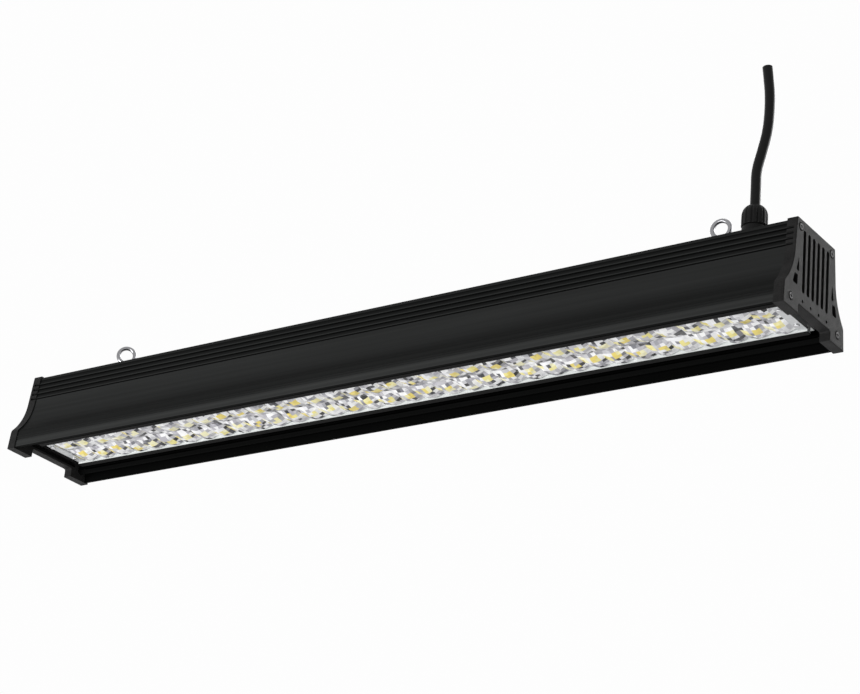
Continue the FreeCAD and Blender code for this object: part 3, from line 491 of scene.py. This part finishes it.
# %% Black casting
def black_casting(name):
    material, net = new_material(name)
    peel = noise(net, lamp_coordinates(net), scale=1300.0, detail=4.0)
    clouds = noise(net, lamp_coordinates(net), scale=90.0)
    colour = ramp(net, peel * 0.6 + clouds * 0.4,
                  (0.3, (0.010, 0.010, 0.010)), (0.7, (0.033, 0.0325, 0.0325)))
    principled(net, bump(net, peel, 0.00035, 0.8), Base_Color=colour,
               Roughness=0.42 + peel * 0.2, IOR=1.12)
    return material


finishes["black_casting"] = black_casting("black_casting")
print("nodes:", len(finishes["black_casting"].node_tree.nodes))

# %% [markdown]
# ## Metals, plastics and rubber
# Screws, eye bolts, boards, seals, the gland and the cable are each of one even
# material. They share one recipe, in which a fine grain moves the colour, the
# gloss and the height a little, as moulding and plating do on real pieces. A
# flat colour would do for the hidden ones, but it looks false close up.

# %% Plain finishes
plain_finishes = {
    "dark_screws": dict(colour=(0.012, 0.012, 0.012), roughness=0.40, IOR=1.15),
    "bright_screws": dict(colour=(0.50, 0.50, 0.51), roughness=0.30, metallic=1.0),
    "bright_steel": dict(colour=(0.27, 0.27, 0.28), roughness=0.24, metallic=1.0),
    "white_board": dict(colour=(0.78, 0.79, 0.78), roughness=0.42),
    "led_phosphor": dict(colour=(0.86, 0.62, 0.16), roughness=0.50),
    "seal_rubber": dict(colour=(0.30, 0.30, 0.31), roughness=0.60),
    "copper_links": dict(colour=(0.70, 0.38, 0.22), roughness=0.35, metallic=1.0),
    "driver_grey": dict(colour=(0.30, 0.31, 0.32), roughness=0.45),
    "terminal_plastic": dict(colour=(0.70, 0.70, 0.68), roughness=0.45),
    "wire_sheath": dict(colour=(0.25, 0.16, 0.10), roughness=0.40),
    "cable_sheath": dict(colour=(0.009, 0.009, 0.009), roughness=0.28, grain_scale=700.0,
                         depth=0.00012, IOR=1.2),
    "black_nylon": dict(colour=(0.014, 0.014, 0.014), roughness=0.40, grain_scale=1400.0,
                        depth=0.0001, IOR=1.15)}
grain_shade, grain_shine = 0.85, 1.12


def plain(name, colour, roughness, metallic=0.0, grain_scale=900.0, depth=0.00005, **fixed):
    material, net = new_material(name)
    grain = noise(net, lamp_coordinates(net), scale=grain_scale)
    dark = tuple(c * grain_shade for c in colour)
    light = tuple(min(1.0, c * grain_shine) for c in colour)
    principled(net, bump(net, grain, depth), Base_Color=ramp(net, grain, (0.0, dark), (1.0, light)),
               Roughness=roughness - 0.04 + grain * 0.08, Metallic=metallic, **fixed)
    return material


for name, recipe in plain_finishes.items():
    finishes[name] = plain(name, **recipe)
print("plain finishes:", len(plain_finishes))

# %% [markdown]
# ## Bare aluminium
# The bars across the ends of the lens row are bare aluminium, cut
# from drawn flat stock. Drawing leaves lines along the bar, so one squeezed
# noise feeds the tone, the gloss and a shallow bump.

# %% Bare aluminium
def bare_aluminium(name):
    material, net = new_material(name)
    lines = noise(net, stretched(net, (2.0, 900.0, 900.0)), detail=4.0)
    colour = ramp(net, lines, (0.0, (0.44, 0.45, 0.455)), (1.0, (0.66, 0.67, 0.675)))
    principled(net, bump(net, lines, 0.00004), Base_Color=colour, Metallic=0.35,
               Roughness=0.34 + lines * 0.16)
    return material


finishes["bare_aluminium"] = bare_aluminium("bare_aluminium")
print("nodes:", len(finishes["bare_aluminium"].node_tree.nodes))

# %% [markdown]
# ## The lens rails
# A rail along each side holds the lens plates. Its wall beside the lenses is pale and its lower lip
# is black. The lip is told apart by height alone, which is simpler than cutting the rail's mesh in
# two.

# %% Rail paint
rail_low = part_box("lens_rail_back")[0].z
rail_lip = 1.0 * mm


def rail_paint(name):
    material, net = new_material(name)
    grain = noise(net, stretched(net, (40.0, 500.0, 500.0)))
    wall = height(net) > rail_low + rail_lip
    colour = ramp(net, wall * (0.85 + grain * 0.15),
                  (0.0, (0.012, 0.012, 0.012)), (1.0, (0.74, 0.76, 0.75)))
    principled(net, bump(net, grain, 0.00004), Base_Color=colour, Roughness=0.36 + grain * 0.12,
               IOR=1.06)
    return material


finishes["rail_paint"] = rail_paint("rail_paint")
print("rail lip up to", round(rail_low + rail_lip, 5))

# %% [markdown]
# ## The lens plates
# Each LED sits behind its own moulded lens, a low hump of flat facets. A facet
# doesn't show what is straight behind it: it throws up a patch of yellow
# phosphor, white board, grey shade or dark housing. Tracing light through glass
# would need the maker's own optics for that, so each facet carries its patch as
# a colour on the mesh, and the finish adds the gloss of clear plastic and a
# slow ripple, as moulded plastic has.

# %% Lens finish
def clear_lens(name):
    material, net = new_material(name)
    tone = net.add("ShaderNodeAttribute", {"attribute_name": "facet_tone"})
    ripple = noise(net, lamp_coordinates(net), scale=260.0, detail=2.0)
    principled(net, bump(net, ripple, 0.0003, 0.4), Base_Color=tone,
               Roughness=0.10 + ripple * 0.12, Specular_IOR_Level=0.4)
    return material


finishes["clear_lens"] = clear_lens("clear_lens")
print("finishes:", len(finishes))

# %% [markdown]
# The yellow patches stand in two loose lines along each plate, two to a lens.
# All else is drawn by chance from greys, whites and darks. An image could hold
# these tones, but colours on the facets fit the mesh without any unwrapping.
# The draws start from the plate's name, so every run gives the same plates.

# %% Facet tones
lenses_per_row = 12
facets_per_lens = 6
facet_columns = lenses_per_row * facets_per_lens
facet_rows = 14
patch_pitch = 3             # columns from one yellow patch to the next
patch_rows = (3, 9)         # the lower row of each line of patches
patch_gaps = 0.02           # share of the patches that don't show
patch_fill = 0.9            # share of a patch's four facets that are yellow
grey_share, white_share = 0.44, 0.83
yellows = [(0.88, 0.79, 0.30), (0.86, 0.70, 0.18), (0.91, 0.84, 0.42), (0.94, 0.90, 0.58)]
whites = [(0.97, 0.97, 0.97), (0.92, 0.92, 0.93), (0.85, 0.85, 0.87)]
greys = [(0.47, 0.46, 0.50), (0.54, 0.53, 0.56), (0.61, 0.61, 0.63), (0.36, 0.36, 0.39)]
darks = [(0.22, 0.22, 0.25), (0.085, 0.085, 0.095), (0.045, 0.045, 0.052), (0.02, 0.02, 0.02)]
edge_tone = (0.60, 0.62, 0.62)


def yellow_facets(chance):
    """Facets that throw up the phosphor: two loose lines of small patches."""
    chosen = {}
    for low_row in patch_rows:
        for column in range(0, facet_columns, patch_pitch):
            if chance.random() < patch_gaps:
                continue
            row = low_row + chance.choice((-1, 0, 0, 1))
            tone = chance.choice(yellows)
            for right, up in ((0, 0), (1, 0), (0, 1), (1, 1)):
                if chance.random() < patch_fill:
                    near = chance.choice((tone, tone, chance.choice(yellows)))
                    chosen[column + right, row + up] = near
    return chosen


def plain_tone(chance):
    """Painted tone of any other facet: the image of shaded board, bright board or dark housing."""
    draw = chance.random()
    if draw < grey_share:
        return chance.choice(greys)
    return chance.choice(whites if draw < white_share else darks)


def paint(face, layer, tone):
    for corner in face.loops:
        corner[layer] = (*tone, 1.0)


print("tones:", len(yellows) + len(whites) + len(greys) + len(darks))

# %% [markdown]
# A plate starts as a flat grid with one face to a facet. Its inner corners are
# pushed down into a hump under each LED, and a little sideways by chance, which
# tilts every facet its own way. Each lens could be modelled once and copied,
# but then all 72 would show the same facets in the same order.

# %% Lens shape
plate_thickness = 2.4 * mm
lens_height = 4.4 * mm
lens_row_offset = 16.6 * mm     # from the plate's middle line to each row of LEDs
lens_valley = 0.1               # share of the height that is left between lenses
taper_along, taper_across = 1.8, 3.2
shift_by_chance = 0.7 * mm
drop_by_chance = 0.07           # share of the lens height


def swell(x, y, low, high):
    """Depth of the lens surface below the plate at one corner of the facets."""
    lens_span = (high.x - low.x) / lenses_per_row
    along = abs(((x - low.x) / lens_span) % 1.0 - 0.5)
    across = abs(abs(y) - lens_row_offset) / (high.y - low.y)
    hump = 1.0 - (taper_along * along) ** 2 - (taper_across * across) ** 2
    return lens_height * max(lens_valley, hump)


def add_facets(shape, low, high, chance):
    """Grid of facets, its inner corners pushed down and a little out of line."""
    bmesh.ops.create_grid(shape, x_segments=facet_columns, y_segments=facet_rows, size=0.5)
    wide = 2 * max(v.co.x for v in shape.verts)
    deep = 2 * max(v.co.y for v in shape.verts)
    bmesh.ops.scale(shape, verts=shape.verts,
                    vec=((high.x - low.x) / wide, (high.y - low.y) / deep, 1.0))
    bmesh.ops.translate(shape, verts=shape.verts, vec=(
        (low.x + high.x) / 2, (low.y + high.y) / 2, high.z - plate_thickness))
    for corner in [v for v in shape.verts if not v.is_boundary]:
        drop = swell(corner.co.x, corner.co.y, low, high)
        bmesh.ops.translate(shape, verts=[corner], vec=(
            chance.uniform(-shift_by_chance, shift_by_chance),
            chance.uniform(-shift_by_chance, shift_by_chance),
            chance.uniform(-drop_by_chance, drop_by_chance) * lens_height - drop))


plate_low, plate_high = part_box("lens_plate_1")
print("facets per plate:", facet_columns * facet_rows,
      "lens span:", round((plate_high.x - plate_low.x) / lenses_per_row, 5))

# %% [markdown]
# A facet's middle tells its column and row in the grid, and so its patch. The
# last row at the back stays plain, as the plate's moulded edge is.

# %% Facet colours
def colour_facets(shape, low, high, layer, chance):
    """Gives each facet its patch by its column and row in the grid."""
    chosen = yellow_facets(chance)
    for face in list(shape.faces):
        middle = face.calc_center_median()
        column = int((middle.x - low.x) / (high.x - low.x) * facet_columns)
        row = int((middle.y - low.y) / (high.y - low.y) * facet_rows)
        tone = chosen.get((column, row)) or plain_tone(chance)
        paint(face, layer, edge_tone if row == facet_rows - 1 else tone)


print("edge tone:", edge_tone)

# %% [markdown]
# The grid's rim is then extruded up into walls and closed with one flat face,
# so the plate is a solid slab. A Solidify modifier would give the upper face
# all the facets again, and nobody sees them there.

# %% Lens plates
lid_gap = 0.05 * mm             # keeps the slab's upper face clear of the seal


def finish_piece(name, shape, slot):
    """Turns a finished shape into a piece that rides on the lamp."""
    mesh = bpy.data.meshes.new(name)
    shape.to_mesh(mesh)
    shape.free()
    mesh.materials.append(finishes[slot])
    piece = add_object(name, mesh)
    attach(piece, "root")
    return piece


def add_lens_plate(name, low, high):
    chance = random.Random(name)
    shape = bmesh.new()
    layer = shape.loops.layers.float_color.new("facet_tone")
    add_facets(shape, low, high, chance)
    colour_facets(shape, low, high, layer, chance)
    rim = [edge for edge in shape.edges if edge.is_boundary]
    walls = bmesh.ops.extrude_edge_only(shape, edges=rim)["geom"]
    upper = [item for item in walls if isinstance(item, bmesh.types.BMVert)]
    bmesh.ops.translate(shape, verts=upper, vec=(0, 0, plate_thickness - lid_gap))
    lid = [edge for edge in shape.edges if edge.is_boundary]
    back = bmesh.ops.edgeloop_fill(shape, edges=lid)["faces"]
    for face in back + [item for item in walls if isinstance(item, bmesh.types.BMFace)]:
        paint(face, layer, edge_tone)
    bmesh.ops.triangulate(shape, faces=shape.faces)
    bmesh.ops.recalc_face_normals(shape, faces=shape.faces)
    return finish_piece(name, shape, "clear_lens")


for number in (1, 2, 3):
    node = "lens_plate_%d" % number
    piece = add_lens_plate("faceted_lenses_%d" % number, *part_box(node))
    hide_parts(node)
    print(piece.name, len(piece.data.polygons), "faces")

# %% [markdown]
# ## The gland's dome nut
# A domed nylon nut with finger flutes squeezes the seal onto the cable. Its
# shape is a table of rings, from the rim up and over the dome and into the
# mouth. A flute is sunk by drawing in every eighth corner of a ring, and its
# neighbours half as far, so it runs out softly where the dome begins. Cutting
# it with a Boolean would leave ragged edges there.

# %% Flutes of the nut
flute_count = 14
flute_corners = 8
flute_shoulder = 0.55       # how far a flute's neighbours are drawn in, as a share
# Radius, height and flute depth of each ring, in millimetres, from the rim to the mouth.
nut_rings = [(10.9, 0.0, 0.0), (11.5, 0.0, 0.7), (11.9, 0.6, 1.0), (11.9, 8.5, 1.0),
             (11.8, 11.5, 0.9), (11.4, 13.6, 0.7), (10.6, 15.8, 0.4), (9.4, 17.8, 0.15),
             (8.0, 19.2, 0.0), (6.7, 20.1, 0.0), (5.9, 20.5, 0.0), (5.5, 20.3, 0.0),
             (5.4, 18.8, 0.0)]


def sink_flutes(shape, ring, radius, flute):
    """Draws in every eighth corner of a ring, and its neighbours half as far."""
    around = sorted(ring, key=lambda v: math.atan2(v.co.y, v.co.x))
    for share, offsets in ((1.0, (0,)), (flute_shoulder, (1, flute_corners - 1))):
        sunk = [v for i, v in enumerate(around) if i % flute_corners in offsets]
        draw = 1.0 - share * flute / radius
        bmesh.ops.scale(shape, verts=sunk, vec=(draw, draw, 1.0))


print("rings:", len(nut_rings), "flutes:", flute_count)

# %% [markdown]
# The nut starts as one circle. For each further ring its open edges are
# extruded, scaled to the ring's radius and lifted to its height. The last ring,
# deep in the mouth, and the first one, the rim, are filled, so the nut is closed.

# %% Fluted dome nut
def add_dome_nut(name, low, high):
    shape = bmesh.new()
    ring = bmesh.ops.create_circle(shape, segments=flute_count * flute_corners,
                                   radius=nut_rings[0][0] * mm)["verts"]
    rings, edges = [ring], list(shape.edges)
    for (before, level, _), (radius, rise, _) in zip(nut_rings, nut_rings[1:]):
        made = bmesh.ops.extrude_edge_only(shape, edges=edges)["geom"]
        ring = [item for item in made if isinstance(item, bmesh.types.BMVert)]
        edges = [item for item in made if isinstance(item, bmesh.types.BMEdge) and item.is_boundary]
        bmesh.ops.scale(shape, verts=ring, vec=(radius / before, radius / before, 1.0))
        bmesh.ops.translate(shape, verts=ring, vec=(0, 0, (rise - level) * mm))
        rings.append(ring)
    for ring, (radius, _, flute) in zip(rings, nut_rings):
        if flute:
            sink_flutes(shape, ring, radius, flute)
    bmesh.ops.edgeloop_fill(shape, edges=[edge for edge in shape.edges if edge.is_boundary])
    bmesh.ops.recalc_face_normals(shape, faces=shape.faces)
    bmesh.ops.translate(shape, verts=shape.verts, vec=(
        (low.x + high.x) / 2, (low.y + high.y) / 2, low.z))
    return finish_piece(name, shape, "black_nylon")


dome_nut = add_dome_nut("fluted_dome_nut", nut_low, nut_high)
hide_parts("gland_nut")
print(dome_nut.name, len(dome_nut.data.polygons), "faces")

# %% [markdown]
# ## The gland's collar
# Under the nut a smooth round collar sits on the lid, and its neck goes down
# through it. Every part of it is round, so half of its section is drawn as a
# closed outline and spun once round the gland's axis. A stack of cylinders
# would leave inner faces where they meet.

# %% Round collar
spin_steps = 72
merge_distance = 0.001 * mm


def spin_section(name, section, centre, slot):
    """Closed half section of (radius, z) corners spun once round a vertical line."""
    shape = bmesh.new()
    corners = [shape.verts.new((radius, 0, z)) for radius, z in section]
    edges = [shape.edges.new((corners[i - 1], corner)) for i, corner in enumerate(corners)]
    bmesh.ops.spin(shape, geom=corners + edges, cent=(0, 0, 0), axis=(0, 0, 1), dvec=(0, 0, 0),
                   angle=math.tau, steps=spin_steps, use_merge=True, use_duplicate=False)
    bmesh.ops.remove_doubles(shape, verts=shape.verts, dist=merge_distance)
    bmesh.ops.recalc_face_normals(shape, faces=shape.faces)
    bmesh.ops.translate(shape, verts=shape.verts, vec=(centre.x, centre.y, 0))
    return finish_piece(name, shape, slot)


body_low, body_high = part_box("gland_body")
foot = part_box("gland_washer")[1].z
shoulder = nut_low.z - 0.8 * mm
bore, thread, neck = 4.9 * mm, 9.8 * mm, 8.8 * mm
collar_section = [(bore, body_low.z), (thread, body_low.z), (thread, foot), (12.1 * mm, foot),
                  (12.3 * mm, foot + 0.4 * mm), (12.3 * mm, foot + 1.6 * mm),
                  (11.5 * mm, foot + 2.4 * mm), (11.3 * mm, shoulder - 0.7 * mm),
                  (10.8 * mm, shoulder), (neck, shoulder), (neck, body_high.z),
                  (bore, body_high.z)]
collar = spin_section("gland_collar", collar_section, cable_exit, "black_nylon")
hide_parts("gland_body")
print(collar.name, len(collar.data.polygons), "faces")

# %% [markdown]
# ## The cut end of the cable
# The cable's square cut shows its three cores. Each is a short cylinder whose end face is inset
# once: the ring that is left is the coloured sleeve, and the middle is copper. They are made
# upright and then turned together to the cable's own direction.

# %% Cable cores
core_count = 3
core_radius = 1.35 * mm
core_depth = 1.2 * mm
core_offset = 2.0 * mm          # from the cable's middle
sleeve_wall = 0.55 * mm
copper_drop = 0.05 * mm


def add_cores(name):
    shape = bmesh.new()
    for step in range(core_count):
        core = bmesh.ops.create_cone(shape, cap_ends=True, segments=24, radius1=core_radius,
                                     radius2=core_radius, depth=core_depth)["verts"]
        top = max(set(face for v in core for face in v.link_faces),
                  key=lambda face: face.calc_center_median().z)
        bmesh.ops.inset_individual(shape, faces=[top], thickness=sleeve_wall, depth=-copper_drop)
        top.material_index = 1
        swing = Matrix.Rotation(math.tau * step / core_count, 3, "Z")
        bmesh.ops.translate(shape, verts=list(set(core) | set(top.verts)),
                            vec=swing @ Vector((core_offset, 0, 0)))
    aim = (cable_route[-1] - cable_route[-2]).normalized()
    swivel = Vector((0, 0, 1)).rotation_difference(aim).to_matrix().to_4x4()
    bmesh.ops.transform(shape, matrix=Matrix.Translation(cable_route[-1]) @ swivel,
                        verts=shape.verts)
    cores = finish_piece(name, shape, "wire_sheath")
    cores.data.materials.append(finishes["copper_links"])
    return cores


cores = add_cores("cable_cores")
print(cores.name, len(cores.data.polygons), "faces")

# %% [markdown]
# ## Dressing the construction pieces
# The construction pieces keep their shape and their place. Each of their
# material slots is named for its finish, so one lookup dresses them all. Only
# the lens rails take a finish of their own, for their two tones.

# %% Dress every piece
dressed = 0
for node in nodes.values():
    for slot in node.material_slots:
        finish = slot.material.name.split(".")[0]
        slot.material = finishes["rail_paint" if node.name.startswith("lens_rail") else finish]
        dressed += 1
cable.data.materials.append(finishes["cable_sheath"])
print("slots dressed:", dressed)
